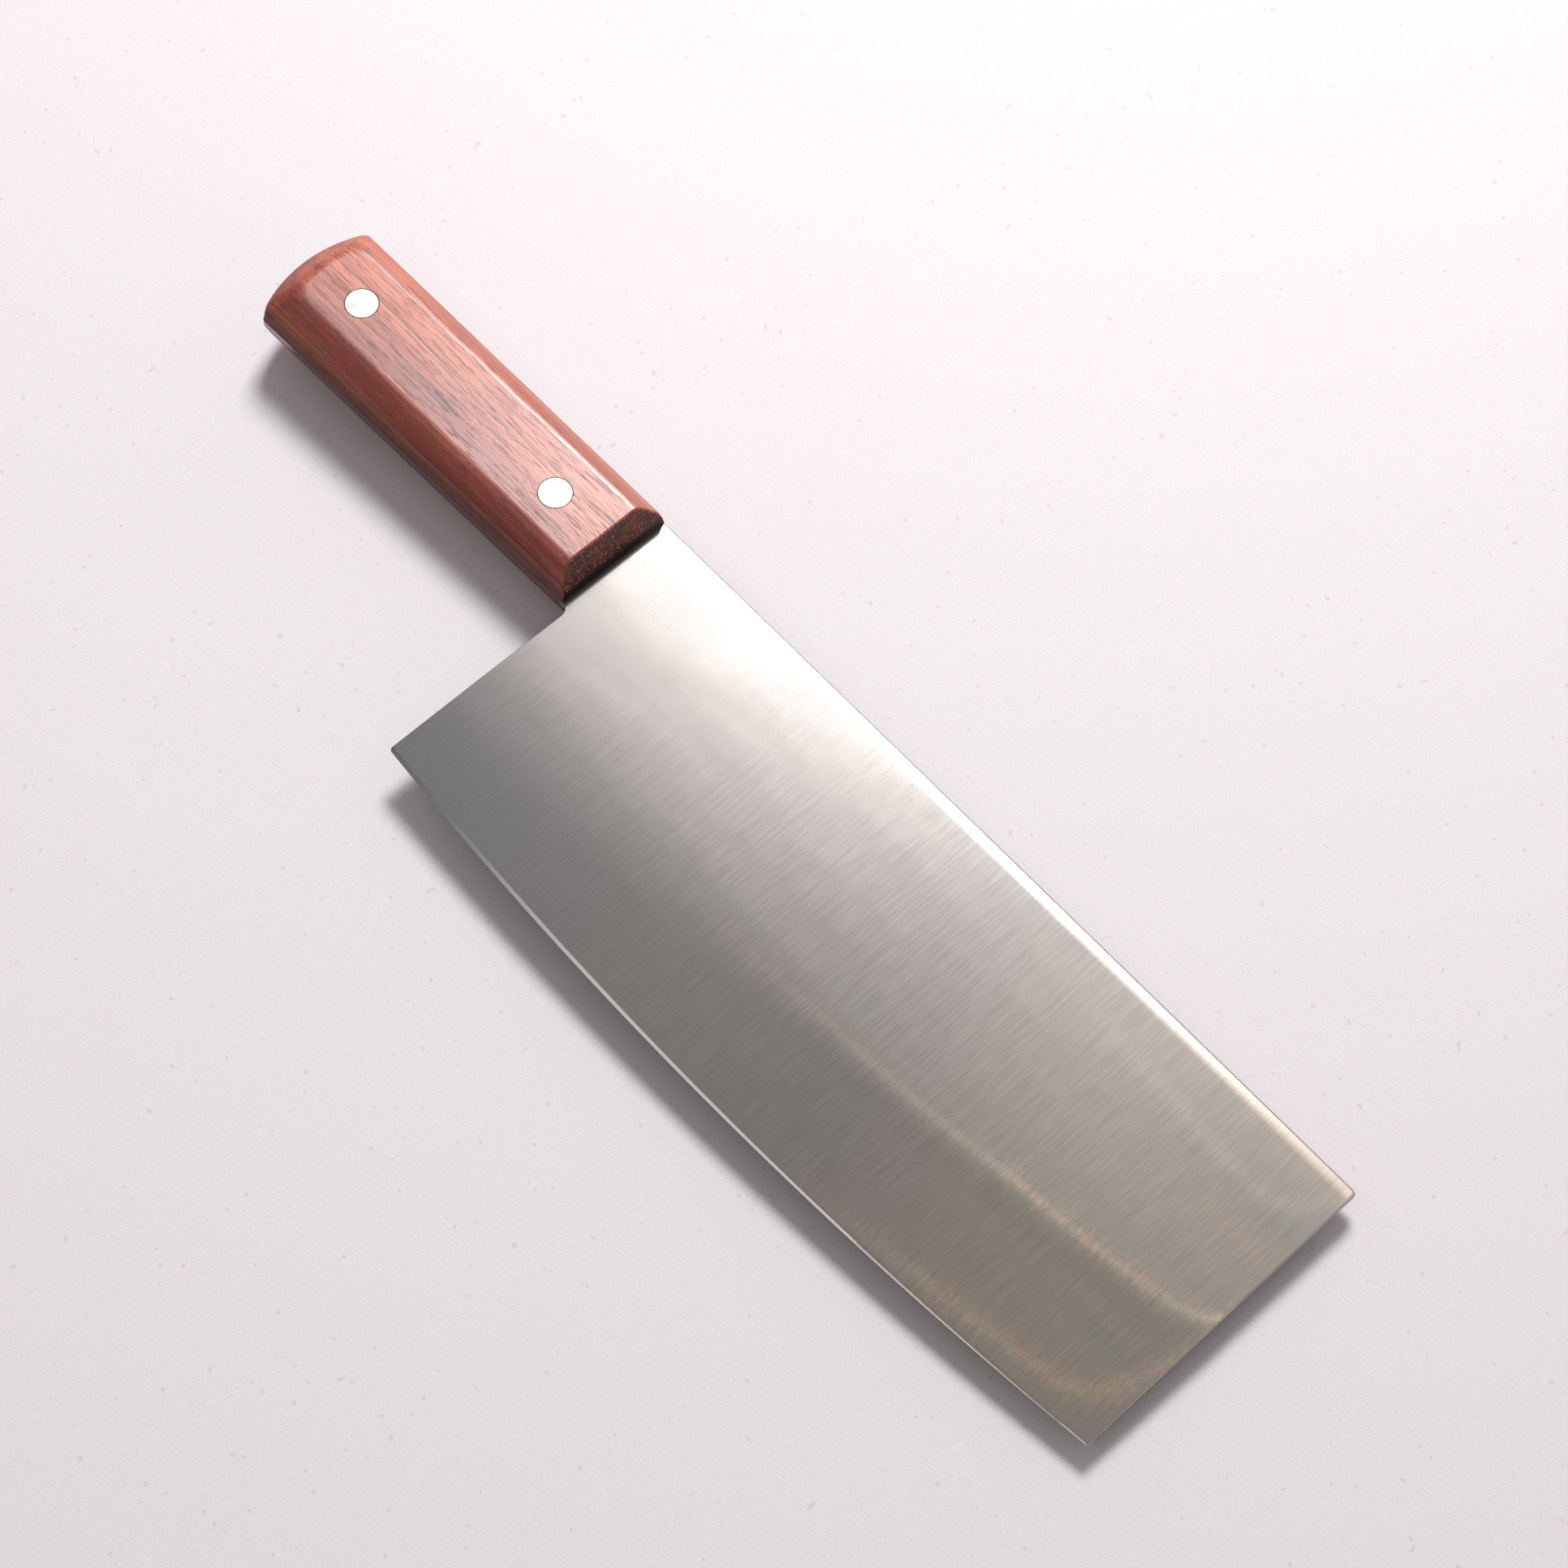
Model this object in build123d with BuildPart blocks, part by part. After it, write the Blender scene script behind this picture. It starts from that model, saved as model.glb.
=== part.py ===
from build123d import *
from math import asin, degrees, radians, sqrt, tan
import os

# A full-tang kitchen cleaver lying on its side, in millimetres. The blade points
# along +X, its straight spine lies on Y = 0 and its cutting edge faces -Y. Z = 0 is
# the centre plane of the steel. The origin is where the spine leaves the handle.

# Blade blank, one sheet of steel with the tang in one piece
stock = 2.3               # thickness of the sheet, from the butt to the toe
spine_length = 222.9      # handle front to the toe, along the spine
tip_setout = 221.8        # handle front to the tip, so the toe leans back a little
tip_drop = 82.6           # tip below the spine
heel_setout = 1.7         # handle front to the heel
heel_drop = 86.3          # heel below the spine
belly_rise = 5.6          # how far the edge bows out past a straight line
neck_setout = 2.3         # handle front to the rear edge of the blade, at the neck
neck_radius_share = 0.87  # inside corner there, as a share of the setout
toe_corner_radius = 1.2   # where the spine meets the toe
spine_radius = 0.8        # polished round along both sides of the spine

# Grind: a long shallow flank from a shoulder line down to a small steep edge bevel
shoulder_above_heel = 27.3   # shoulder line above the edge, at the heel
shoulder_above_tip = 36.4    # and at the toe, where it sweeps up
shoulder_rise = 6.3          # bow of the shoulder line
flank_drop = 0.9             # half thickness lost between the shoulder and the edge
flank_width = 31.1           # distance over which that is lost, at mid blade
edge_angle = 22.0            # degrees, each side of the centre plane
grind_allowance = 1.5        # steel left outside the edge for the grind to take off

# Handle, the same outline for the tang and the inner face of both scales
handle_length = 106.1        # front to the corners of the butt, along the spine
handle_front_width = 32.2    # spine side to edge side where the blade begins
spine_side_front_gap = 0.1   # the handle's back edge below the spine line
spine_side_rear_gap = 0.5
handle_rear_width = 34.4
butt_radius = 35.0           # rounded end of the handle, seen from above
scale_thickness = 9.0        # wood on each side of the tang

# Side of a scale: a nearly upright band next to the steel, then a wider bevel
band_height = 4.6
band_lean_front = 1.1        # how far the band leans in, at the front
band_lean_rear = 1.4         # at the rear of the long sides
band_lean_butt = 0.7         # and across the butt
bevel_spine_front = 5.3      # whole inset from the inner face to the outer flat
bevel_spine_rear = 5.9
bevel_edge_front = 4.4
bevel_edge_rear = 7.6
bevel_butt = 6.6
arris_radius = 1.5           # softened long edges
corner_radius = 0.8          # softened corners at the butt
nose_land = 3.0              # upright step where the wood meets the blade
nose_setback = 3.6           # the wood's front face slopes back by this much
nose_allowance = 3.0         # wood left in front until the nose is cut
nose_ease = 0.4              # softened rim of the front face

# Two-part rivets pressed together through the scales and the tang
front_rivet_setback = 19.2   # front rivet behind the handle's front
rear_rivet_inset = 17.1      # rear rivet in front of the butt's corners
rivet_drop = 17.4            # rivets below the spine
head_diameter = 8.0
head_thickness = 2.0
barrel_diameter = 5.0        # female half
barrel_length = 12.0
shank_diameter = 3.0         # male half
shank_length = 13.5
shank_tip_chamfer = 0.5
bore_clearance = 0.3         # free depth past the end of the shank
fit_clearance = 0.03         # all round each round fit

overrun = 5.0                # how far a cutting tool runs past the work

half_stock = stock / 2
scale_top = half_stock + scale_thickness
rivet_xs = {"rear": rear_rivet_inset - handle_length, "front": -front_rivet_setback}
bore_depth = shank_length + barrel_length + bore_clearance - 2 * (scale_top - head_thickness)
os.makedirs("parts", exist_ok=True)


def circle_through(start, end, rise):
    """Centre and radius of the arc from start to end that bows towards -Y by rise."""
    chord = end - start
    radius = (chord.length**2 / 4 + rise**2) / (2 * rise)
    outward = Vector(chord.Y, -chord.X).normalized()
    middle = (start + end) / 2
    return middle - outward * (radius - rise), radius


def handle_outline(inset_spine, inset_edge, inset_butt, front):
    """Closed outline of the handle, drawn in by (front, rear) amounts on each side."""
    spine_front = Vector(front, -spine_side_front_gap - inset_spine[0])
    edge_front = Vector(front, -spine_side_front_gap - handle_front_width + inset_edge[0])
    rear_high = -spine_side_rear_gap - inset_spine[1]
    rear_low = -spine_side_rear_gap - handle_rear_width + inset_edge[1]
    full_sagitta = butt_radius - sqrt(butt_radius**2 - (handle_rear_width / 2) ** 2)
    sagitta = butt_radius - sqrt(butt_radius**2 - ((rear_high - rear_low) / 2) ** 2)
    apex = Vector(-handle_length - full_sagitta + inset_butt, (rear_high + rear_low) / 2)
    spine_rear = Vector(apex.X + sagitta, rear_high)
    edge_rear = Vector(apex.X + sagitta, rear_low)
    with BuildLine() as outline:
        Line(edge_front, spine_front)
        Line(spine_front, spine_rear)
        ThreePointArc(spine_rear, apex, edge_rear)
        Line(edge_rear, edge_front)
    return outline.line


def radial_plane(centre, start):
    """Upright plane whose X runs from the centre of a round cut to where it starts."""
    outward = (start - centre).normalized()
    return Plane(origin=centre, x_dir=outward, z_dir=outward.cross(Vector(0, 0, 1)))


# Blade, cut from the sheet with its tang, then ground on both sides
heel = Vector(heel_setout, -heel_drop)
tip = Vector(tip_setout, -tip_drop)
toe_corner = Vector(spine_length, 0)
neck = Vector(neck_setout, -spine_side_front_gap - handle_front_width)
toe_lean = (toe_corner - tip).normalized()
rear_lean = (neck - heel).normalized()
edge_centre, edge_radius = circle_through(heel, tip, belly_rise)
shoulder_heel = heel + rear_lean * shoulder_above_heel
shoulder_tip = tip + toe_lean * shoulder_above_tip
shoulder_centre, shoulder_radius = circle_through(shoulder_heel, shoulder_tip, shoulder_rise)
flank_slope = flank_drop / flank_width
edge_slope = tan(radians(edge_angle))

with BuildPart() as blade:
    with BuildSketch(Plane.XY.offset(-half_stock)) as blank:
        with BuildLine():
            low_heel = heel - rear_lean * grind_allowance
            low_tip = tip - toe_lean * grind_allowance
            low_middle = edge_centre - Vector(0, edge_radius + grind_allowance)
            Polyline(low_tip, toe_corner, (0, 0), (0, neck.Y), neck, low_heel)
            ThreePointArc(low_heel, low_middle, low_tip)
        make_face()
        fillet(blank.vertices().sort_by_distance(toe_corner)[0], toe_corner_radius)
        make_face(handle_outline((0, 0), (0, 0), 0, 0).edges())
        fillet(blank.vertices().group_by(Axis.X)[0], corner_radius)
        fillet(blank.vertices().sort_by_distance(neck)[0], neck_setout * neck_radius_share)
    extrude(amount=stock)

    # Each cut is a ring with its own centre: first the long flank, then the edge bevel
    flank_end = shoulder_above_tip + overrun
    flank = [
        (shoulder_radius, half_stock),
        (shoulder_radius + flank_end, half_stock - flank_slope * flank_end),
    ]
    bevel = [
        (edge_radius - overrun, edge_slope * overrun),
        (edge_radius + overrun, -edge_slope * overrun),
    ]
    for centre, (inner, outer) in ((shoulder_centre, flank), (edge_centre, bevel)):
        cut_plane = radial_plane(centre, heel - Vector(overrun, 0))
        cut_sweep = degrees(2 * asin((tip_setout + overrun) / 2 / inner[0]))
        for side in (1, -1):
            clear = side * (half_stock + overrun)
            with BuildSketch(cut_plane):
                with BuildLine():
                    Polyline(
                        (inner[0], clear),
                        (inner[0], side * inner[1]),
                        (outer[0], side * outer[1]),
                        (outer[0], clear),
                        close=True,
                    )
                make_face()
            revolve(axis=Axis(centre, (0, 0, 1)), revolution_arc=cut_sweep, mode=Mode.SUBTRACT)

    # Spine rounded on both sides, from the handle to the toe
    with BuildSketch(Plane.YZ):
        for side in (1, -1):
            with BuildLine():
                flat_end = Vector(-spine_radius, side * half_stock)
                back_end = Vector(0, side * (half_stock - spine_radius))
                RadiusArc(flat_end, back_end, side * spine_radius)
                Polyline(
                    back_end,
                    (overrun, back_end.Y),
                    (overrun, side * (half_stock + overrun)),
                    (flat_end.X, side * (half_stock + overrun)),
                    flat_end,
                )
            make_face()
    extrude(amount=spine_length + overrun, mode=Mode.SUBTRACT)

    with Locations(*[(x, -rivet_drop, half_stock) for x in rivet_xs.values()]):
        Hole(barrel_diameter / 2 + fit_clearance, stock)
blade.part.label = "blade"
export_step(blade.part, "parts/blade.step")

# Upper scale: inner face, top of the upright band and outer flat, joined by flat sides
scale_levels = [
    (half_stock, (0, 0), (0, 0), 0),
    (
        half_stock + band_height,
        (band_lean_front, band_lean_rear),
        (band_lean_front, band_lean_rear),
        band_lean_butt,
    ),
    (
        scale_top,
        (bevel_spine_front, bevel_spine_rear),
        (bevel_edge_front, bevel_edge_rear),
        bevel_butt,
    ),
]
with BuildPart() as upper_scale:
    for height, inset_spine, inset_edge, inset_butt in scale_levels:
        with BuildSketch(Plane.XY.offset(height)) as level:
            make_face(handle_outline(inset_spine, inset_edge, inset_butt, nose_allowance).edges())
            fillet(level.vertices().group_by(Axis.X)[0], corner_radius)
    loft(ruled=True)
    for level_index in (2, 1):
        level_edges = upper_scale.edges().filter_by(Plane.XY).group_by(Axis.Z)[level_index]
        fillet(level_edges.filter_by(lambda edge: edge.center().X < 0), arris_radius)

    # Front face: an upright land where the wood meets the blade, then a slope
    with BuildSketch(Plane.XZ):
        with BuildLine():
            Polyline(
                (0, 0),
                (0, half_stock + nose_land),
                (-nose_setback, scale_top),
                (-nose_setback, scale_top + overrun),
                (nose_allowance + overrun, scale_top + overrun),
                (nose_allowance + overrun, 0),
                close=True,
            )
        make_face()
    extrude(amount=handle_front_width + overrun, both=True, mode=Mode.SUBTRACT)
    front_edges = upper_scale.faces().sort_by(Axis.X)[-2:].edges()
    front_top = front_edges.sort_by(Axis.Z)[-1]
    fillet(front_edges.filter_by(Axis.Y, reverse=True) + [front_top], nose_ease)

    with Locations(*[(x, -rivet_drop, scale_top) for x in rivet_xs.values()]):
        CounterBoreHole(
            barrel_diameter / 2 + fit_clearance,
            head_diameter / 2 + fit_clearance,
            head_thickness,
            scale_thickness,
        )
upper_scale.part.label = "upper_scale"
export_step(upper_scale.part, "parts/upper_scale.step")

with BuildPart() as lower_scale:
    mirror(upper_scale.part, about=Plane.XY)
lower_scale.part.label = "lower_scale"
export_step(lower_scale.part, "parts/lower_scale.step")

# Rivets, male half from above and female half from below
for place, x in rivet_xs.items():
    with BuildPart() as male:
        with Locations((x, -rivet_drop, scale_top)):
            Cylinder(head_diameter / 2, head_thickness, align=(Align.CENTER, Align.CENTER, Align.MAX))
        with Locations((x, -rivet_drop, scale_top - head_thickness)):
            Cylinder(shank_diameter / 2, shank_length, align=(Align.CENTER, Align.CENTER, Align.MAX))
        chamfer(male.faces().sort_by(Axis.Z)[0].edges(), shank_tip_chamfer)
    male.part.label = place + "_rivet_male"
    export_step(male.part, "parts/" + male.part.label + ".step")

    with BuildPart() as female:
        with Locations((x, -rivet_drop, -scale_top)):
            Cylinder(head_diameter / 2, head_thickness, align=(Align.CENTER, Align.CENTER, Align.MIN))
        with Locations((x, -rivet_drop, head_thickness - scale_top)):
            Cylinder(barrel_diameter / 2, barrel_length, align=(Align.CENTER, Align.CENTER, Align.MIN))
        with Locations((x, -rivet_drop, head_thickness - scale_top + barrel_length)):
            Hole(shank_diameter / 2 + fit_clearance, bore_depth)
    female.part.label = place + "_rivet_female"
    export_step(female.part, "parts/" + female.part.label + ".step")
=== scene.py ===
import math
from collections import Counter

import bmesh
import bpy
from mathutils import Matrix, Vector


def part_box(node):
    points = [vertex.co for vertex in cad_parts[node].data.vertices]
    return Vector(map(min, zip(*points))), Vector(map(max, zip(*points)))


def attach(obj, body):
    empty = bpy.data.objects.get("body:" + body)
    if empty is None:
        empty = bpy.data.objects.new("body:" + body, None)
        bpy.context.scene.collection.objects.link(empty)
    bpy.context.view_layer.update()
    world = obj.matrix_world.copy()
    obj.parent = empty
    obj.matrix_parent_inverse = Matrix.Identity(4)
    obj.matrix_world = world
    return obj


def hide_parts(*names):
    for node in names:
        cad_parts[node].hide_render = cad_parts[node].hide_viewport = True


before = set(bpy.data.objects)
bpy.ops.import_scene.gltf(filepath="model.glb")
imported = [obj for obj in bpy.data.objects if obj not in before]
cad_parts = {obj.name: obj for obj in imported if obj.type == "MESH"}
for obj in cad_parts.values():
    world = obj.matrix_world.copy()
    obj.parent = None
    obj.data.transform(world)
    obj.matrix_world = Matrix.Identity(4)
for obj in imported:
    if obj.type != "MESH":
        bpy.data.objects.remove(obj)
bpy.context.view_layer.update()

# Sizes are in millimetres, and MM turns them into metres. X runs to the toe, the spine
# lies on Y = 0 with the edge towards -Y, and Z points out of the side that looks up.
MM = 0.001

# Steel
blade_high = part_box("blade")[1] / MM
half_stock = blade_high.z
spine_length = blade_high.x
heel = Vector((1.7, -86.3))
tip = Vector((221.8, -82.6))
neck = Vector((2.3, -32.3))
neck_radius = 2.0
tang_fade = 2.0
belly_rise = 5.6
heel_round = 0.9
toe_round = 1.2
spine_round = 0.6
spine_roll = 3.6
spine_roll_radius = 26.0
edge_ease = 0.25
shoulder_above_heel = 27.3
shoulder_above_tip = 36.4
shoulder_rise = 6.3
shoulder_softness = (14.0, 2.5)
shoulder_tightens = (20.0, 190.0)
flank_slope = 0.9 / 31.1
bevel_slope = math.tan(math.radians(22.0))

# The grinding wheel leaves faint crests that curl up towards the spine at the toe. Each has
# the X where it starts, where it is full and where it begins to curl, its distance from the
# line that it follows, how much that grows with X, the curl's rise, and its height.
shoulder_crest = (60.0, 190.0, 206.0, -1.6, 0.0, 4.0, 0.05)
edge_crest = (130.0, 185.0, 203.0, -0.4, 0.0675, 21.0, 0.04)
spine_crest = (120.0, 200.0, 200.0, -13.0, -0.05, 15.0, 0.025)
crest_curl_power = 4
crest_lead = 8.0
crest_fall = 3.4
crest_sway = 0.35
crest_sway_length = 23.0

# Handle outline, the same for the tang and for both scales
handle_length = 106.1
spine_gap_front = 0.1
spine_gap_rear = 0.5
handle_front_width = 32.2
handle_rear_width = 34.4
butt_radius = 35.0
butt_corner_radius = 0.8
scale_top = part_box("upper_scale")[1].z / MM

# Side of a scale: a nearly upright band, then a wide bevel up to the outer flat.
# The pairs are insets from the outline at the front and at the rear end.
band_height = 4.6
band_lean = (1.1, 1.4)
band_lean_butt = 0.7
bevel_spine = (5.3, 5.9)
bevel_edge = (4.4, 7.6)
bevel_butt = 6.6
knee_radius = 1.5
knee_radius_butt = 3.0
rim_radius_spine = 4.0
rim_radius_edge = 4.0
rim_radius_butt = 6.0
rim_corner_radius = 5.0
seam_ease = 0.12
nose_allowance = 3.0
nose_land = 3.0
nose_setback = 3.6
nose_ease = 0.45

# Rivets
rivet_drop = 17.4
rivet_xs = {}
for place in ("rear", "front"):
    rivet_low, rivet_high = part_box(place + "_rivet_male")
    rivet_xs[place] = (rivet_low.x + rivet_high.x) / 2 / MM
head_radius = (rivet_high.x - rivet_low.x) / 2 / MM
head_thickness = 2.0
barrel_radius = 2.5
hole_clearance = 0.03
hole_ease = 0.12
hole_ease_share = 0.3

# How finely the meshes are divided
circle_steps = 96
side_steps = 12
butt_steps = 32
corner_steps = 4
arris_steps = 8
nose_steps = 4
neck_steps = 6
station_count = 110
weld_distance = 0.0005
sharp_degrees = 15.0

# Rows of a column of the blade: up the flank, across the shoulder, up to the neck, up to the
# roll of the spine, and up the roll. The first begin flank_start above the edge bevel, and
# the second lie up to shoulder_reach on both sides of the shoulder.
row_counts = (44, 32, 12, 20, 8)
rows_above_neck = sum(row_counts[3:])
rows_on_neck_round = 2
flank_start = 0.3
shoulder_reach = 5.0

# Index of the butt's middle in a row of points round the handle
apex_index = side_steps + corner_steps + butt_steps // 2

# Index of the point under the wood's front where the two faces of the tang meet
tang_split = 8


def lerp(start, end, share):
    return start + (end - start) * share


def soft_step(value, start, end):
    """0 before start, 1 after end and a soft rise between them."""
    share = min(1.0, max(0.0, (value - start) / (end - start)))
    return share * share * (3 - 2 * share)


def steps(start, end, count):
    """Even values from start up to but without end."""
    return [lerp(start, end, index / count) for index in range(count)]


def circle_through(start, end, rise):
    """Centre and radius of the arc from start to end that bows towards -Y by rise."""
    chord = end - start
    radius = (chord.length ** 2 / 4 + rise ** 2) / (2 * rise)
    outward = Vector((chord.y, -chord.x)).normalized()
    return (start + end) / 2 - outward * (radius - rise), radius


def rounded_corner(before, corner, after, radius, count):
    """Points of the arc that rounds a corner, from the side of before to that of after."""
    first = (before - corner).normalized()
    second = (after - corner).normalized()
    half_angle = first.angle(second) / 2
    reach = radius / math.tan(half_angle)
    centre = corner + (first + second).normalized() * (radius / math.sin(half_angle))
    start = corner + first * reach - centre
    turn = start.angle_signed(corner + second * reach - centre)
    return [centre + Matrix.Rotation(-turn * step / count, 2) @ start for step in range(count + 1)]


def ring(centre_x, radius, z):
    """Circle round a rivet's axis, from +X and turning towards +Y."""
    points = []
    for step in range(circle_steps):
        turn = 2 * math.pi * step / circle_steps
        points.append((centre_x + radius * math.cos(turn), radius * math.sin(turn) - rivet_drop, z))
    return points


class Surface:
    """Points and faces of one piece, gathered before its mesh is made."""

    def __init__(self):
        self.points = []
        self.faces = []

    def add(self, points):
        first = len(self.points)
        self.points.extend(tuple(point) for point in points)
        return list(range(first, len(self.points)))

    def strip(self, first, second, closed=False):
        """Quads between two rows of as many points."""
        for index in range(len(first) if closed else len(first) - 1):
            after = (index + 1) % len(first)
            self.faces.append((first[index], first[after], second[after], second[index]))

    def plate(self, upper_side, lower_side, holes):
        """Flat face with round holes, as two faces that meet on the line through the holes.

        upper_side runs from +X to -X and lower_side back again, and they share their end
        points. The holes are rings and come in order from -X to +X.
        """
        half = circle_steps // 2
        upper = list(upper_side)
        lower = []
        for hole in holes:
            upper += reversed(hole[: half + 1])
            lower = [hole[0]] + list(reversed(hole[half:])) + lower
        self.faces.append(tuple(upper))
        self.faces.append(tuple(list(lower_side) + lower))

    def mirror(self):
        """Closes a surface above Z = 0 with its mirror image and a rim between the two."""
        count = len(self.points)
        uses = Counter(
            tuple(sorted(side)) for face in self.faces for side in zip(face, face[1:] + face[:1])
        )
        self.points += [(x, y, -z) for x, y, z in self.points]
        self.faces += [tuple(count + point for point in reversed(face)) for face in self.faces]
        for (a, b), faces in sorted(uses.items()):
            if faces == 1:
                self.faces.append((b, a, count + a, count + b))

    def flipped(self):
        """The same piece on the other side of the steel."""
        other = Surface()
        other.points = [(x, y, -z) for x, y, z in self.points]
        other.faces = [tuple(reversed(face)) for face in self.faces]
        return other

    def piece(self, name, node, material, glint_at=None):
        """The finished piece, smooth but for its sharp edges, in place of a node of the frame."""
        mesh = bpy.data.meshes.new(name)
        mesh.from_pydata([Vector(point) * MM for point in self.points], [], self.faces)
        work = bmesh.new()
        work.from_mesh(mesh)
        bmesh.ops.remove_doubles(work, verts=work.verts, dist=weld_distance * MM)
        bmesh.ops.recalc_face_normals(work, faces=work.faces)
        plan = work.loops.layers.uv.new("plan")
        for face in work.faces:
            face.smooth = True
            for loop in face.loops:
                loop[plan].uv = loop.vert.co.xy
        work.to_mesh(mesh)
        work.free()
        mesh.set_sharp_from_angle(angle=math.radians(sharp_degrees))
        if glint_at:
            glint = mesh.attributes.new("glint", "FLOAT", "POINT")
            for vertex, value in zip(mesh.vertices, glint.data):
                value.value = glint_at(vertex.co)
        mesh.materials.append(material)
        made = bpy.data.objects.new(name, mesh)
        bpy.context.scene.collection.objects.link(made)
        made.modifiers.new("flat faces stay flat", "WEIGHTED_NORMAL").keep_sharp = True
        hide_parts(node)
        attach(made, "root")


def handle_row(spine, edge, butt, front_xs, corner_radius=butt_corner_radius):
    """Points round the handle at one level, from the front of its spine side to that of its edge side.

    spine and edge hold an (inset, height) at the front and one at the rear, and butt is a
    single one. front_xs are where the two sides end at the front.
    """
    rear_high = -spine_gap_rear - spine[1].x
    rear_low = -spine_gap_rear - handle_rear_width + edge[1].x
    full_sagitta = butt_radius - math.sqrt(butt_radius ** 2 - (handle_rear_width / 2) ** 2)
    half_chord = (rear_high - rear_low) / 2
    sagitta = butt_radius - math.sqrt(butt_radius ** 2 - half_chord ** 2)
    apex_x = butt.x - handle_length - full_sagitta
    centre = Vector((apex_x + butt_radius, (rear_high + rear_low) / 2))
    points = []
    corners = []
    starts = (
        Vector((nose_allowance, -spine_gap_front - spine[0].x)),
        Vector((nose_allowance, -spine_gap_front - handle_front_width + edge[0].x)),
    )
    for start, rear_y, turn in zip(starts, (rear_high, rear_low), (1, -1)):
        corner = Vector((apex_x + sagitta, rear_y))
        arm = corner - centre
        tangent = Vector((-arm.y, arm.x)) * turn
        corners.append(rounded_corner(start, corner, corner + tangent, corner_radius, corner_steps))
    rows = []
    for start, arc, heights, front_x in zip(starts, corners, (spine, edge), front_xs):
        row = []
        reach = (start.x - front_x) / (start.x - arc[0].x)
        for share in steps(reach, 1.0, side_steps):
            plan = start.lerp(arc[0], share)
            row.append((plan.x, plan.y, lerp(heights[0].y, heights[1].y, share)))
        for index, plan in enumerate(arc):
            row.append((plan.x, plan.y, lerp(heights[1].y, butt.y, index / corner_steps)))
        rows.append(row)
    first_arm, last_arm = corners[0][-1] - centre, corners[1][-1] - centre
    sweep = first_arm.angle(last_arm)
    arc = []
    for step in range(1, butt_steps):
        plan = centre + Matrix.Rotation(sweep * step / butt_steps, 2) @ first_arm
        arc.append((plan.x, plan.y, butt.y))
    return rows[0] + arc + rows[1][::-1]


# Lines of the blade, worked out from its sizes
rear_lean = (neck - heel).normalized()
rear_top = neck + rear_lean * (-neck.y / rear_lean.y)
toe_top = Vector((spine_length, 0.0))
toe_lean = (toe_top - tip).normalized()
blade_length = spine_length - rear_top.x
neck_depth = (neck_radius - neck.y) / rear_lean.y
edge_centre, edge_radius = circle_through(heel, tip, belly_rise)
heel_arm = heel - edge_centre
edge_sweep = heel_arm.angle(tip - edge_centre)
shoulder_centre, shoulder_radius = circle_through(
    heel + rear_lean * shoulder_above_heel, tip + toe_lean * shoulder_above_tip, shoulder_rise
)

# Columns of the blade, by their distance from its rear: close together at both ends
end_stations = [0.0, 0.06, 0.15, 0.25, 0.45, 0.7, 0.9, 1.2, 1.8, 2.8]
middle_start = 4.0
middle_end = blade_length - middle_start
stations = end_stations + steps(middle_start, middle_end, station_count) + [middle_end]
stations += [blade_length - station for station in reversed(end_stations)]

# Rows on the round of the spine, every 10 degrees, by their depth below it
round_depths = [spine_round * (1 - math.cos(math.radians(turn))) for turn in range(90, -1, -10)]


def ground_lines(x, y):
    """How far a place is below the shoulder line, and how far in from the cutting edge."""
    below = (Vector((x, y)) - shoulder_centre).length - shoulder_radius
    inside = edge_radius - (Vector((x, y)) - edge_centre).length
    return below, inside


def crest_shape(x, above, start, full, curl_start, rise, rate, curl, height):
    """Height of a crest at a distance above the line that it follows, and how it glints."""
    curl_length = spine_length - curl_start
    share = max(0.0, (x - curl_start) / curl_length)
    line = rise + rate * max(0.0, x - start) + curl * share ** crest_curl_power
    line += crest_sway * math.sin(x / crest_sway_length * 2) * math.sin(x / crest_sway_length)
    lean = rate + curl * crest_curl_power * share ** (crest_curl_power - 1) / curl_length
    off = (above - line) / math.hypot(1.0, lean)
    shape = soft_step(off, -crest_lead, 0.0) * (1 - soft_step(off, 0.0, crest_fall))
    glint = math.exp(-((off - crest_fall / 2) / crest_fall) ** 2)
    strength = soft_step(x, start, full)
    return height * strength * shape, glint * strength


def ground_height(x, y):
    """Half thickness: the flat, the long flank and its crests, then the edge bevel."""
    below, inside = ground_lines(x, y)
    ramp = max(0.0, below)
    softness = lerp(*shoulder_softness, soft_step(x, *shoulder_tightens))
    if abs(below) < softness:
        ramp = (below + softness) ** 2 / (4 * softness)
    ground = half_stock - flank_slope * ramp
    for crest, above in ((shoulder_crest, -below), (edge_crest, inside), (spine_crest, y)):
        ground += crest_shape(x, above, *crest)[0]
    return max(0.0, min(ground, bevel_slope * inside))


def glint_at(point):
    """How much of a crest's glint a point on either side of the blade has."""
    x, y = point.x / MM, point.y / MM
    below, inside = ground_lines(x, y)
    glint = 0.0
    for crest, above in ((shoulder_crest, -below), (edge_crest, inside)):
        glint += crest_shape(x, above, *crest)[1]
    return glint


def round_fall(radius, distance):
    """How far a round of the radius has fallen, at a distance in from its rim."""
    return radius - math.sqrt(radius ** 2 - (radius - distance) ** 2)


def eased(height, distance, radius):
    """Height near a rim that is rounded with the radius, at a distance in from it."""
    if distance >= radius:
        return height
    return height - round_fall(radius, distance) * min(1.0, height / radius)


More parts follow.
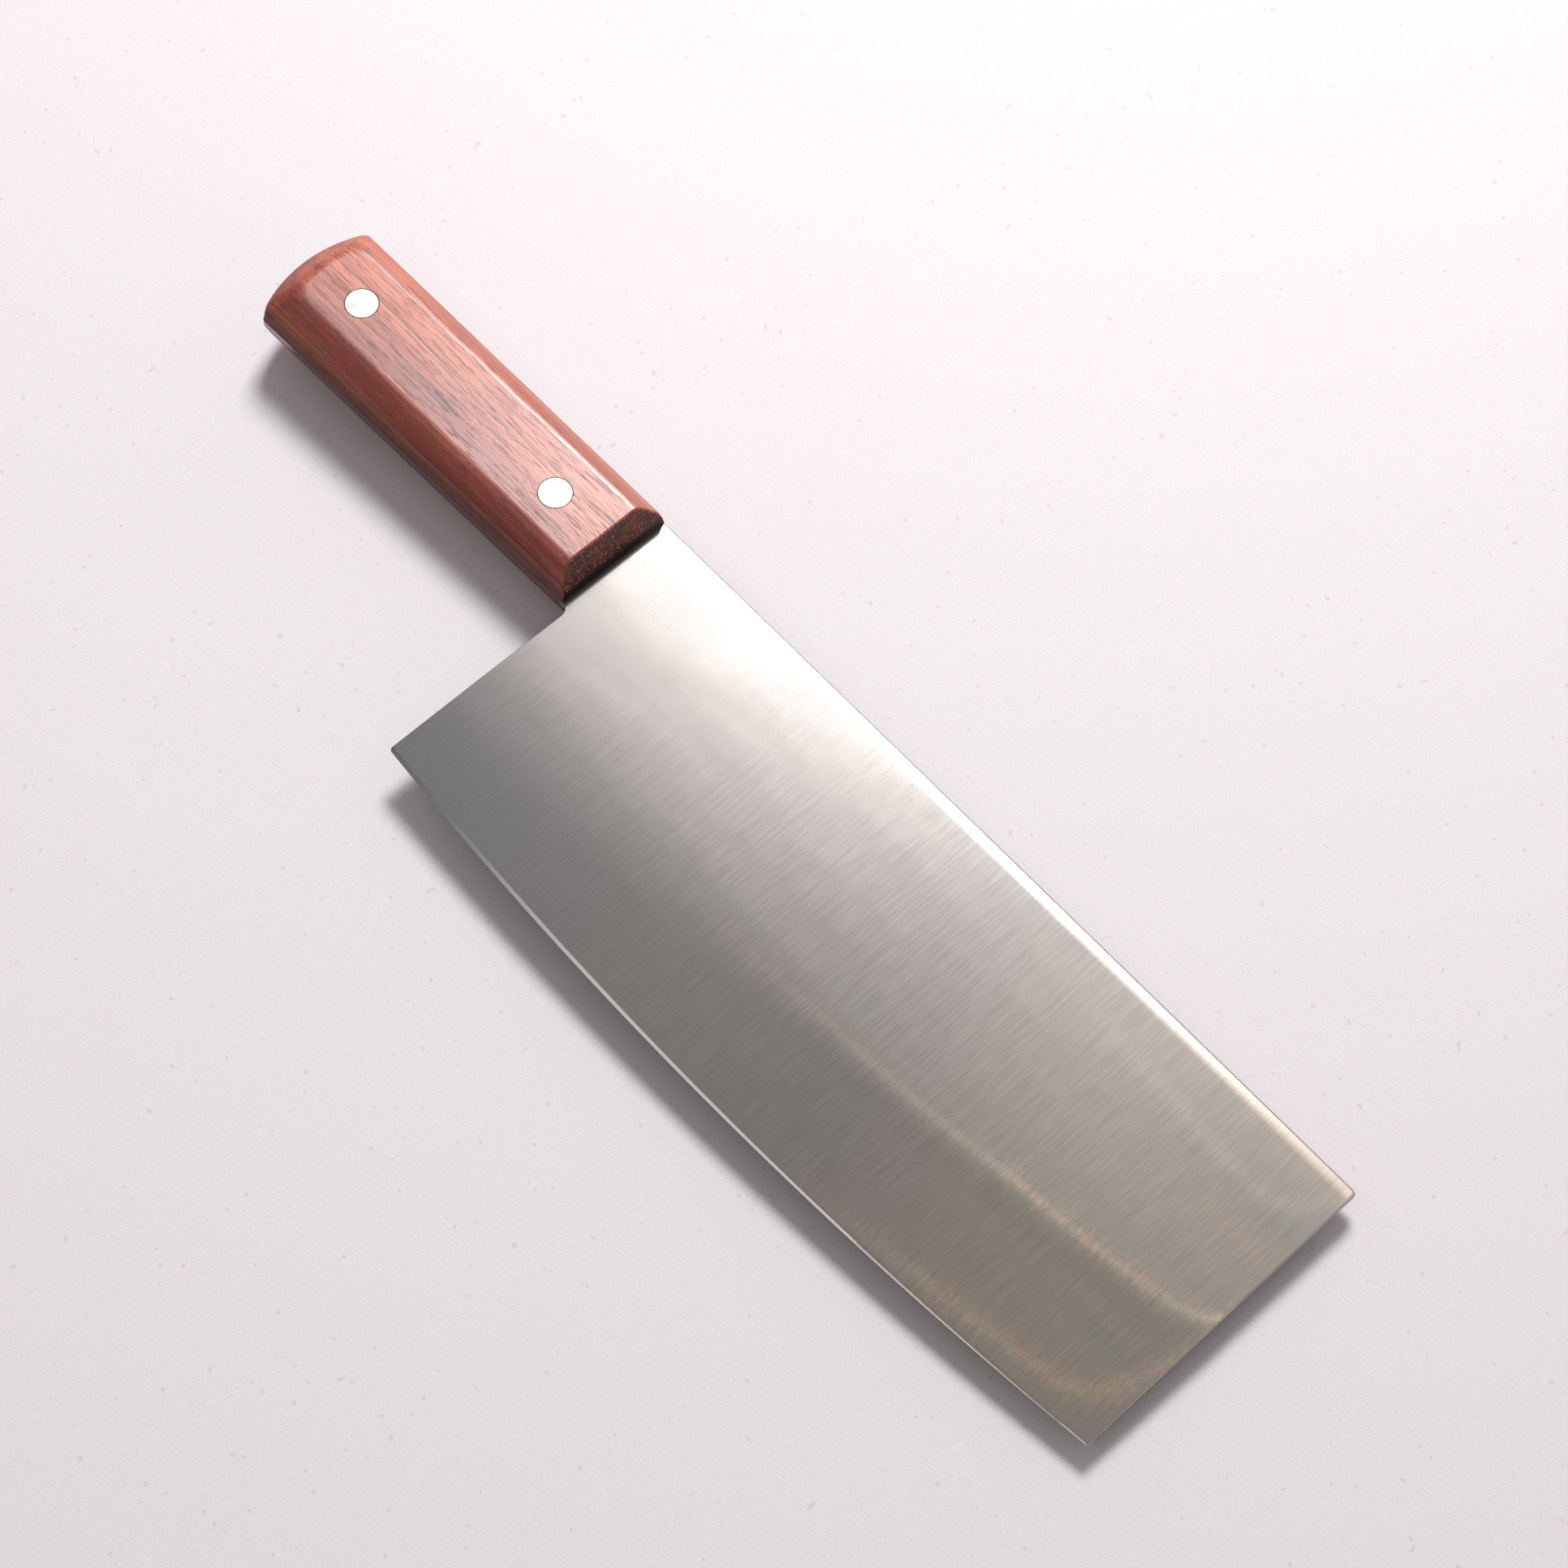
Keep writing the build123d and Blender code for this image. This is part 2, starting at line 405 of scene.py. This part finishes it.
def column_rows(share, total):
    """Distances from the cutting edge to the points of a column, up to the spine."""
    shoulder = lerp(shoulder_above_heel, shoulder_above_tip, share)
    shoulder -= (shoulder_rise - belly_rise) * 4 * share * (1 - share)
    bevel = (half_stock - flank_slope * shoulder) / (bevel_slope - flank_slope)
    ends = [bevel + flank_start, shoulder - shoulder_reach, shoulder + shoulder_reach]
    ends += [total - neck_depth, total - spine_roll, total - spine_round]
    rows = [0.0, bevel]
    for start, end, count in zip(ends, ends[1:], row_counts):
        rows += steps(start, end, count)
    return rows + [total - depth for depth in round_depths]


def blade_column(station):
    """Points up one column of the blade, from the cutting edge to the spine."""
    share = station / blade_length
    low = edge_centre + Matrix.Rotation(edge_sweep * share, 2) @ heel_arm
    high = rear_top.lerp(toe_top, share)
    from_toe = blade_length - station
    if station < heel_round:
        low.y += round_fall(heel_round, station)
    if from_toe < toe_round:
        high.y -= round_fall(toe_round, from_toe)
    total = (high - low).length
    column = []
    for row in column_rows(share, total):
        plan = low.lerp(high, row / total)
        height = ground_height(plan.x, plan.y)
        roll = max(0.0, spine_roll - (total - row))
        height = eased(height - roll ** 2 / (2 * spine_roll_radius), total - row, spine_round)
        if row < total - neck_depth:
            height = eased(height, station, edge_ease)
        height = eased(height, from_toe, edge_ease)
        column.append((plan.x, plan.y, height))
    return column


def add_neck(surface, rear_column, outline):
    """Steel between the neck and the wood, joined to the rear column of the blade.

    Its columns run on under the wood, where the round of the spine fades out into the flat
    tang. Returns the last column and the lowest point of the one before it.
    """
    neck_row = len(rear_column) - len(round_depths) - rows_above_neck
    low_row = neck_row + rows_on_neck_round
    column = rear_column[low_row:]
    rear_points = [surface.points[index] for index in column]
    tang_drop = -surface.points[outline[0]][1]
    lows = column[:1]
    for share, fading in ((1 / 3, 0.0), (2 / 3, 0.0), (1.0, 0.0), (1.0, 1.0)):
        drop = lerp(spine_gap_front, tang_drop, fading)
        points = []
        for x, y, z in rear_points:
            y -= share * drop * (1 - y / neck.y)
            points.append((lerp(x, 0.0, share) - tang_fade * fading, y, lerp(z, half_stock, fading)))
        after = surface.add(points)
        surface.strip(column, after)
        column = after
        lows.append(after[0])
    corner = rounded_corner(Vector((0.0, neck.y)), neck, heel, neck_radius, neck_steps)
    arc = surface.add((plan.x, plan.y, half_stock) for plan in corner[:-1])
    surface.faces.append(tuple(outline[-1:] + arc + rear_column[neck_row:low_row] + lows[:-1]))
    return column, lows[-2]


def build_blade(material):
    surface = Surface()
    columns = [surface.add(blade_column(station)) for station in stations]
    for column, after in zip(columns, columns[1:]):
        surface.strip(column, after)
    level = (Vector((0.0, half_stock)),) * 2
    outline = surface.add(handle_row(level, level, level[0], (-tang_fade, 0.0)))
    column, low_point = add_neck(surface, columns[0], outline)
    holes = []
    for place in ("rear", "front"):
        holes.append(surface.add(ring(rivet_xs[place], barrel_radius + hole_clearance, half_stock)))
    upper_side = column[tang_split:] + outline[1 : apex_index + 1]
    lower_side = outline[apex_index:] + [low_point] + column[: tang_split + 1]
    surface.plate(upper_side, lower_side, holes)
    surface.mirror()
    surface.piece("ground_blade", "blade", material, glint_at)


def side_profile(lean, inset, rim_radius, knee_round=knee_radius):
    """(inset, height) points up the side of a scale, each with the way in from the surface."""
    foot = Vector((0.0, half_stock))
    knee = Vector((lean, half_stock + band_height))
    rim = Vector((inset, scale_top))
    flat = Vector((inset + band_height, scale_top))
    band = (knee - foot).normalized()
    land = foot.lerp(knee, nose_land / band_height)
    points = [foot + Vector((seam_ease, 0.0)), foot + band * seam_ease, land]
    inward = [Vector((1.0, 0.0))] + [Vector((band.y, -band.x))] * 2
    for before, corner, after, radius in ((foot, knee, rim, knee_round), (knee, rim, flat, rim_radius)):
        arc = rounded_corner(before, corner, after, radius, arris_steps)
        first, last = (corner - before).normalized(), (after - corner).normalized()
        for index, point in enumerate(arc):
            along = first.lerp(last, index / arris_steps).normalized()
            points.append(point)
            inward.append(Vector((along.y, -along.x)))
    return points, inward


# Index of the top of the front's upright land in a side profile
land_index = 2


def front_x(height):
    """Where the front face of the wood lies: upright next to the steel, then sloping back."""
    land_top = half_stock + nose_land
    return -nose_setback * max(0.0, height - land_top) / (scale_top - land_top)


def build_scale():
    surface = Surface()
    spine = [side_profile(band_lean[end], bevel_spine[end], rim_radius_spine) for end in (0, 1)]
    edge = [side_profile(band_lean[end], bevel_edge[end], rim_radius_edge) for end in (0, 1)]
    butt = side_profile(band_lean_butt, bevel_butt, rim_radius_butt, knee_radius_butt)[0]
    rows = []
    noses = {"spine": [], "edge": []}
    for index in range(len(butt)):
        levels = [(ends[0][0][index], ends[1][0][index]) for ends in (spine, edge)]
        fronts = [front_x(level[0].y) - nose_ease for level in levels]
        radius = lerp(butt_corner_radius, rim_corner_radius, index / (len(butt) - 1))
        row = surface.add(handle_row(levels[0], levels[1], butt[index], fronts, radius))
        rows.append(row)
        for name, ends, start, toward in (("spine", spine, row[0], -1), ("edge", edge, row[-1], 1)):
            base = Vector(surface.points[start])
            inward = ends[0][1][index]
            noses[name].append([start] + surface.add(nose_arc(base, inward, toward)))
    for row, above in zip(rows, rows[1:]):
        surface.strip(row, above)
    for name in noses:
        for arc, above in zip(noses[name], noses[name][1:]):
            surface.strip(arc, above)

    # Rounded top of the front face, then its upright land and its slope
    top_x = front_x(scale_top) - nose_ease
    middle = surface.add([(top_x, -rivet_drop, scale_top)])
    middle += surface.add(nose_arc(Vector((top_x, -rivet_drop, scale_top)), Vector((0.0, -1.0)), 0))
    surface.strip(noses["spine"][-1], middle)
    surface.strip(middle, noses["edge"][-1])
    foot = surface.add([(0.0, -rivet_drop, half_stock)])[0]
    spine_ends = [arc[-1] for arc in noses["spine"]]
    edge_ends = [arc[-1] for arc in noses["edge"]]
    above_land = edge_ends[land_index:][::-1]
    surface.faces.append(tuple(spine_ends[land_index:] + middle[-1:] + above_land))
    land = spine_ends[: land_index + 1] + edge_ends[land_index::-1]
    surface.faces.append(tuple(land + [foot]))

    # Outer flat and inner face, with stepped holes between them
    head_hole, barrel_hole = head_radius + hole_clearance, barrel_radius + hole_clearance
    floor = scale_top - head_thickness
    levels = [
        (head_hole + hole_ease, scale_top),
        (head_hole + hole_ease * hole_ease_share, scale_top - hole_ease * hole_ease_share),
        (head_hole, scale_top - hole_ease),
        (head_hole, floor),
        (barrel_hole, floor),
        (barrel_hole, half_stock),
    ]
    tops, bottoms = [], []
    for place in ("rear", "front"):
        rings = [surface.add(ring(rivet_xs[place], radius, z)) for radius, z in levels]
        for first, second in zip(rings, rings[1:]):
            surface.strip(first, second, closed=True)
        tops.append(rings[0])
        bottoms.append(rings[-1])
    top, bottom = rows[-1], rows[0]
    surface.plate(middle[:1] + top[: apex_index + 1], top[apex_index:] + middle[:1], tops)
    surface.plate(
        [foot] + noses["spine"][0][:0:-1] + bottom[: apex_index + 1],
        bottom[apex_index:] + noses["edge"][0][1:] + [foot],
        bottoms,
    )
    return surface


def nose_arc(base, inward, toward):
    """Rounded rim of the front face, from a point of the side surface to the front."""
    points = []
    for step in range(1, nose_steps + 1):
        turn = math.pi / 2 * step / nose_steps
        depth = nose_ease * (1 - math.cos(turn))
        height = base.z + inward.y * depth
        x = front_x(height) - nose_ease * (1 - math.sin(turn))
        points.append((x, base.y + toward * inward.x * depth, height))
    return points


class Shader:
    """A material whose nodes are added one line at a time."""

    def __init__(self, name, **sockets):
        self.material = bpy.data.materials.new(name)
        self.material.use_nodes = True
        self.tree = self.material.node_tree
        self.surface = self.tree.nodes["Principled BSDF"]
        self.set(self.surface, sockets)
        self.place = self.node("TexCoord", "Object")

    def set(self, node, sockets):
        for name, value in sockets.items():
            socket = node.inputs[name.replace("_", " ") if isinstance(name, str) else name]
            if isinstance(value, bpy.types.NodeSocket):
                self.tree.links.new(value, socket)
            else:
                socket.default_value = value

    def node(self, kind, output, sockets=None, **settings):
        made = self.tree.nodes.new("ShaderNode" + kind)
        for name, value in settings.items():
            setattr(made, name, value)
        self.set(made, sockets or {})
        return made.outputs[output]

    def shifted(self, amount, reach):
        """The place moved by so many millimetres along each axis, times the amount."""
        reach = [length * MM for length in reach]
        shift = self.node("VectorMath", 0, {0: reach, "Scale": amount}, operation="SCALE")
        return self.node("VectorMath", 0, {0: self.place, 1: shift}, operation="ADD")

    def noise(self, per_mm, detail=2.0, roughness=0.5, shift=0.0, place=None, output="Fac"):
        """Noise around 0.5 with so many waves per millimetre along each axis."""
        scale = [count / MM for count in per_mm]
        place = place or self.place
        place = self.node(
            "Mapping", "Vector", {"Vector": place, "Scale": scale, "Location": (shift,) * 3}
        )
        sockets = {"Vector": place, "Scale": 1.0, "Detail": detail, "Roughness": roughness}
        return self.node("TexNoise", output, sockets)

    def remap(self, value, low, high, to_low=0.0, to_high=1.0):
        sockets = {0: value, 1: low, 2: high, 3: to_low, 4: to_high}
        return self.node("MapRange", 0, sockets, interpolation_type="SMOOTHSTEP")

    def along(self, axis, start, end, at_start=0.0, at_end=1.0):
        """A value that changes softly between two places on an axis, in millimetres."""
        place = self.node("SeparateXYZ", axis, {"Vector": self.place})
        return self.remap(place, start * MM, end * MM, at_start, at_end)

    def facing(self, axis):
        """How much the surface faces along an axis, from -1 to 1."""
        return self.node("SeparateXYZ", axis, {"Vector": self.node("TexCoord", "Normal")})

    def above_steel(self):
        """Distance from the steel's centre plane, in metres."""
        height = self.node("SeparateXYZ", "Z", {"Vector": self.place})
        return self.math("ABSOLUTE", height, 0.0)

    def plan_tangent(self):
        return self.node("Tangent", 0, direction_type="UV_MAP", uv_map="plan")

    def math(self, operation, first, second):
        return self.node("Math", 0, {0: first, 1: second}, operation=operation)

    def mix(self, factor, first, second, blend="MIX"):
        sockets = {0: factor, 6: first, 7: second}
        return self.node("Mix", 2, sockets, data_type="RGBA", blend_type=blend)

    def bump(self, height, distance, normal=None):
        """The surface's normal with bumps of a height in millimetres, over another normal."""
        sockets = {"Strength": 1.0, "Distance": distance * MM, "Height": height}
        if normal:
            sockets["Normal"] = normal
        return self.node("Bump", 0, sockets)


def srgb(red, green, blue):
    """A colour as it is seen on a screen, 0 to 255, as a shader's linear one."""
    parts = []
    for part in (red, green, blue):
        share = part / 255
        parts.append(share / 12.92 if share <= 0.04045 else ((share + 0.055) / 1.055) ** 2.4)
    return (*parts, 1.0)


def ground_steel_colour(steel):
    """The blade's colour without its brushing."""
    # Warmer and lighter towards the toe, with broad bands along the blade
    bands = steel.noise((0.008, 0.12, 0.12), shift=4.0)
    near_toe = steel.along("X", 120.0, 215.0)
    colour = steel.mix(near_toe, srgb(184, 178, 174), srgb(202, 189, 176))
    banded = steel.math("MULTIPLY", steel.remap(bands, 0.35, 0.65), near_toe)
    colour = steel.mix(banded, colour, srgb(192, 186, 179))

    # Bluish near the heel
    near_heel = steel.along("X", 100.0, 10.0)
    near_heel = steel.math("MULTIPLY", near_heel, steel.along("Y", -45.0, -80.0, 0.0, 0.7))
    colour = steel.mix(near_heel, colour, srgb(166, 168, 171))

    # Darker on the edge bevel near the heel
    flatness = steel.math("ABSOLUTE", steel.facing("Z"), 0.0)
    bevel = steel.remap(flatness, 0.97, 0.94)
    bevel = steel.math("MULTIPLY", bevel, steel.along("X", 70.0, 10.0, 0.0, 0.8))
    bevel = steel.math("MULTIPLY", bevel, steel.along("Y", -70.0, -78.0))
    return steel.mix(bevel, colour, srgb(96, 98, 102))


def steel_material():
    steel = Shader("Brushed steel", Metallic=1.0, Anisotropic=0.62)
    colour = ground_steel_colour(steel)

    # Fine lines from spine to edge, whose colour is fainter near the handle
    lines = steel.noise((1.9, 0.09, 0.09), detail=1.0)
    drawn = steel.along("X", 0.0, 130.0, 0.5, 1.0)
    shade = steel.math("MULTIPLY", steel.remap(lines, 0.3, 0.7, -0.5, 0.5), drawn)
    shade = steel.math("ADD", steel.math("MULTIPLY", shade, 0.1), 1.0)
    colour = steel.mix(1.0, colour, shade, "MULTIPLY")
    roughness = steel.remap(lines, 0.3, 0.7, -0.002, 0.002)
    roughness = steel.math("ADD", roughness, steel.along("X", 0.0, 130.0, 0.27, 0.235))

    # Painted glints: sparkle that brightens the colour along the crests of the grind
    glint = steel.node("Attribute", "Fac", attribute_name="glint")
    sparkle = steel.noise((3.0, 0.5, 0.5), roughness=0.6, shift=21.0, output="Color")
    sparkle = steel.mix(1.0, sparkle, (2.8, 2.5, 2.1, 1.0), "MULTIPLY")
    sparkle = steel.mix(1.0, colour, sparkle, "MULTIPLY")
    colour = steel.mix(steel.math("MULTIPLY", glint, 0.5), colour, sparkle)

    # Darker and browner on the tang, which shows between the scales
    colour = steel.mix(steel.along("X", 0.0, -1.0, 0.0, 0.6), colour, srgb(76, 62, 56))
    cloud = steel.noise((0.02, 0.05, 0.05), shift=7.0)
    steel.set(steel.surface, {"Base Color": colour, "Roughness": roughness})
    steel.set(steel.surface, {"Normal": steel.bump(cloud, 0.06), "Tangent": steel.plan_tangent()})
    return steel.material


def long_grain_colour(wood, place, fibres, dark_pores):
    """The wood's colour on the faces along its grain, with painted light towards the spine and painted
    glints, without the painted side shade and rivet joints.
    """
    broad = wood.noise((0.008, 0.13, 0.13), place=place)
    rings = wood.noise((0.004, 0.35, 0.35), detail=1.5, roughness=0.45, shift=2.0, place=place)
    fleck_glints = wood.noise((0.16, 5.0, 5.0), detail=1.0, shift=14.0)

    # Random broad tone, and painted light: lighter towards the spine, the side that faces the lamp
    tone_and_spine_light = wood.math("ADD", wood.remap(broad, 0.35, 0.65), wood.along("Y", -31.0, -3.0, -0.4, 0.5))
    colour = wood.mix(tone_and_spine_light, srgb(152, 57, 37), srgb(207, 110, 79))
    colour = wood.mix(wood.remap(fibres, 0.42, 0.72, 0.0, 0.4), colour, srgb(112, 46, 32))

    # Dark veins, where the rings pass a value
    for middle, width, depth in ((0.5, 0.022, 0.6), (0.42, 0.016, 0.5), (0.59, 0.018, 0.55)):
        off = wood.math("ABSOLUTE", wood.math("SUBTRACT", rings, middle), 0.0)
        vein = wood.remap(off, 0.0, width, depth, 0.0)
        vein = wood.math("MULTIPLY", vein, wood.remap(fibres, 0.25, 0.45))
        colour = wood.mix(vein, colour, srgb(84, 30, 22))
    colour = wood.mix(wood.math("MULTIPLY", dark_pores, 0.7), colour, srgb(52, 24, 22))
    # Light flecks along the grain: painted glints of pores catching the light
    return wood.mix(wood.remap(fleck_glints, 0.66, 0.74, 0.0, 0.45), colour, srgb(215, 140, 105))


def painted_side_shade_and_joints(wood):
    """Painted shade on the wood's sides, darkest next to the steel and less so towards the spine, and
    dark joints round the rivets.
    """
    # Painted shade: darker from the outer flat down to the steel, and less so towards the spine, which
    # faces the lamp
    side_shade_and_joints = wood.remap(wood.above_steel(), 2.5 * MM, 9.5 * MM, 0.62, 0.0)
    side_shade_and_joints = wood.math("MULTIPLY", side_shade_and_joints, wood.along("Y", -12.0, -4.0, 1.0, 0.4))
    full, none = (head_radius + 0.12) * MM, (head_radius + 0.4) * MM
    for x in rivet_xs.values():
        plan = wood.node("VectorMath", 0, {0: wood.place, 1: (1.0, 1.0, 0.0)}, operation="MULTIPLY")
        centre = (x * MM, -rivet_drop * MM, 0.0)
        off = wood.node("VectorMath", "Value", {0: plan, 1: centre}, operation="DISTANCE")
        side_shade_and_joints = wood.math("MAXIMUM", side_shade_and_joints, wood.remap(off, full, none, 0.85, 0.0))
    return side_shade_and_joints


def end_grain_colour(wood):
    """The front face's colour: dark and speckled, with painted highlights in its bright specks and
    painted shade on the upright land next to the steel.
    """
    glint_and_pore_specks = wood.noise((2.3, 2.3, 2.3), detail=0.0, shift=17.0)
    patches = wood.noise((0.3, 0.3, 0.3), shift=19.0)
    colour = wood.mix(wood.remap(patches, 0.35, 0.65), srgb(112, 50, 34), srgb(74, 30, 22))
    # Bright specks are painted highlights of pores catching the light; the dark specks are pores
    colour = wood.mix(wood.remap(glint_and_pore_specks, 0.6, 0.7, 0.0, 0.7), colour, srgb(196, 128, 104))
    colour = wood.mix(wood.remap(glint_and_pore_specks, 0.36, 0.28, 0.0, 0.7), colour, srgb(28, 14, 12))
    # Painted shade: the upright land next to the steel is near black
    land_top = (half_stock + nose_land) * MM
    land_shade = wood.remap(wood.above_steel(), land_top * 1.15, land_top * 0.95)
    return wood.mix(land_shade, colour, srgb(30, 14, 12))


def wood_material():
    wood = Shader("Oiled red-brown wood", IOR=1.5, Anisotropic=0.5, Anisotropic_Rotation=0.25)
    wander = wood.noise((0.012, 0.03, 0.03), detail=1.0, shift=31.0)
    place = wood.shifted(wander, (0.0, 3.0, 3.0))
    fibres = wood.noise((0.012, 1.5, 1.5), detail=4.0, roughness=0.65, shift=5.0, place=place)
    pores = wood.noise((0.14, 4.5, 4.5), detail=1.0, shift=9.0)
    dark_pores = wood.remap(pores, 0.6, 0.68)
    colour = long_grain_colour(wood, place, fibres, dark_pores)
    side_shade_and_joints = painted_side_shade_and_joints(wood)
    # Painted shade on the sides next to the steel, and dark joints round the rivets
    colour = wood.mix(side_shade_and_joints, colour, srgb(48, 18, 15))
    front = wood.facing("X")
    colour = wood.mix(wood.remap(front, 0.55, 0.75), colour, end_grain_colour(wood))

    # Smoother towards the front, rough on the end grain, and with less shine where the side shade and
    # the rivet joints are painted
    roughness = wood.remap(fibres, 0.3, 0.7, -0.02, 0.02)
    roughness = wood.math("ADD", roughness, wood.along("X", -110.0, 0.0, 0.46, 0.33))
    roughness = wood.math("ADD", roughness, wood.remap(front, 0.55, 0.75, 0.0, 0.3))
    specular = wood.remap(side_shade_and_joints, 0.1, 0.6, 0.75, 0.3)
    coat = wood.remap(side_shade_and_joints, 0.1, 0.6, 0.25, 0.0)
    bump = wood.bump(fibres, 0.006, normal=wood.bump(dark_pores, -0.03))
    wood.set(wood.surface, {"Base Color": colour, "Roughness": roughness})
    wood.set(wood.surface, {"Normal": bump, "Tangent": wood.plan_tangent()})
    wood.set(wood.surface, {"Specular IOR Level": specular})
    wood.set(wood.surface, {"Coat Weight": coat, "Coat Roughness": 0.33})
    return wood.material


def rivet_material():
    rivet = Shader("Ground rivet steel", Metallic=1.0, Anisotropic=0.4)
    scratches = rivet.noise((0.25, 6.0, 6.0), detail=3.0, roughness=0.6)
    colour = rivet.mix(scratches, srgb(160, 158, 155), srgb(176, 174, 171))
    roughness = rivet.remap(scratches, 0.3, 0.7, 0.34, 0.42)
    rivet.set(rivet.surface, {"Base Color": colour, "Roughness": roughness})
    rivet.set(rivet.surface, {"Normal": rivet.bump(scratches, 0.002)})
    return rivet.material


def paper_material():
    paper = Shader("Pale paper", Roughness=0.6, Specular_IOR_Level=0.5)
    fibres = paper.noise((2.2, 2.2, 2.2), detail=3.0, roughness=0.7)
    specks = paper.noise((0.6, 0.6, 0.6), detail=0.0, shift=11.0)
    colour = paper.mix(paper.remap(fibres, 0.3, 0.7), srgb(224, 217, 221), srgb(232, 226, 230))
    colour = paper.mix(paper.remap(specks, 0.8, 0.85, 0.0, 0.4), colour, srgb(190, 180, 184))
    paper.set(paper.surface, {"Base Color": colour, "Normal": paper.bump(fibres, 0.03)})
    return paper.material


steel = steel_material()
wood = wood_material()
rivet = rivet_material()
build_blade(steel)
scale = build_scale()
scale.piece("upper_handle_scale", "upper_scale", wood)
scale.flipped().piece("lower_handle_scale", "lower_scale", wood)
for name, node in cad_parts.items():
    if "rivet" in name:
        node.data.materials.clear()
        node.data.materials.append(rivet)

# The knife lies a little tilted, on a front corner of its handle's lower flat, so the paper
# under it is a plane that is tilted as much the other way. The rises are per metre, and
# floor_size is in metres.
rest_y = -27.9
rest_point = Vector((-nose_setback, rest_y, -scale_top)) * MM
rise_along = 0.021
rise_across = -0.0015
floor_size = 4.0
floor_corners = []
for x, y in ((-1, -1), (1, -1), (1, 1), (-1, 1)):
    offset = Vector((x, y)) * floor_size / 2
    height = rest_point.z + rise_along * offset.x + rise_across * offset.y
    floor_corners.append((rest_point.x + offset.x, rest_point.y + offset.y, height))
floor_mesh = bpy.data.meshes.new("paper_floor")
floor_mesh.from_pydata(floor_corners, [], [(0, 1, 2, 3)])
floor_mesh.materials.append(paper_material())
floor = bpy.data.objects.new("paper_floor", floor_mesh)
bpy.context.scene.collection.objects.link(floor)

# Camera, with its place in metres
camera_place = (0.27772, -0.26361, 0.67246)
right = Vector((0.683, 0.729, 0.0453))
up = Vector((-0.6738, 0.6049, 0.4244))
back = right.cross(up).normalized()
right = up.cross(back).normalized()
turned = Matrix((right, up, back)).transposed().to_4x4()
camera = bpy.data.objects.new("camera", bpy.data.cameras.new("camera"))
camera.data.lens = 50.0
camera.data.sensor_width = 24.0
camera.data.clip_start = 0.01
camera.matrix_world = Matrix.Translation(camera_place) @ turned
bpy.context.scene.collection.objects.link(camera)
bpy.context.scene.camera = camera


def soft_lamp(name, place, target, width, height, power):
    """A rectangular lamp that looks at its target, in metres and watts."""
    lamp = bpy.data.objects.new(name, bpy.data.lights.new(name, "AREA"))
    lamp.data.shape = "RECTANGLE"
    lamp.data.size = width
    lamp.data.size_y = height
    lamp.data.energy = power
    lamp.location = place
    lamp.rotation_mode = "QUATERNION"
    lamp.rotation_quaternion = (Vector(target) - Vector(place)).to_track_quat("-Z", "Y")
    bpy.context.scene.collection.objects.link(lamp)


def room_light(colour, dim, bright, overhead):
    """Light from all round: dim on the edge's side, bright on the spine's, and its own overhead."""
    world = bpy.data.worlds.new("room")
    bpy.context.scene.world = world
    world.use_nodes = True
    sky = world.node_tree
    direction = sky.nodes.new("ShaderNodeSeparateXYZ")
    sky.links.new(sky.nodes.new("ShaderNodeTexCoord").outputs["Generated"], direction.inputs[0])
    horizon = sky.nodes.new("ShaderNodeMapRange")
    fade = sky.nodes.new("ShaderNodeMapRange")
    for node, axis, ends in (
        (horizon, "Y", (-0.8, 0.9, dim, bright)),
        (fade, "Z", (0.1, 0.8, 0.0, overhead)),
    ):
        node.interpolation_type = "SMOOTHSTEP"
        for socket, value in zip(("From Min", "From Max", "To Min", "To Max"), ends):
            node.inputs[socket].default_value = value
        sky.links.new(direction.outputs[axis], node.inputs["Value"])
    sky.links.new(horizon.outputs[0], fade.inputs["To Min"])
    sky.links.new(fade.outputs[0], sky.nodes["Background"].inputs["Strength"])
    sky.nodes["Background"].inputs["Color"].default_value = colour


# A soft lamp behind the spine, a weaker panel above the edge, and the room
blade_middle = (0.08, -0.04, 0.0)
panel_x = -0.215
soft_lamp("key_lamp", (-0.68, 0.95, 1.33), blade_middle, width=0.55, height=0.5, power=31.5)
soft_lamp("edge_panel", (panel_x, -0.74, 1.2), (panel_x, 0.0, 0.0), width=1.0, height=0.3, power=1.0)
room_light(srgb(253, 249, 249), dim=0.15, bright=0.8, overhead=0.3)
bpy.context.scene.view_settings.view_transform = "Standard"
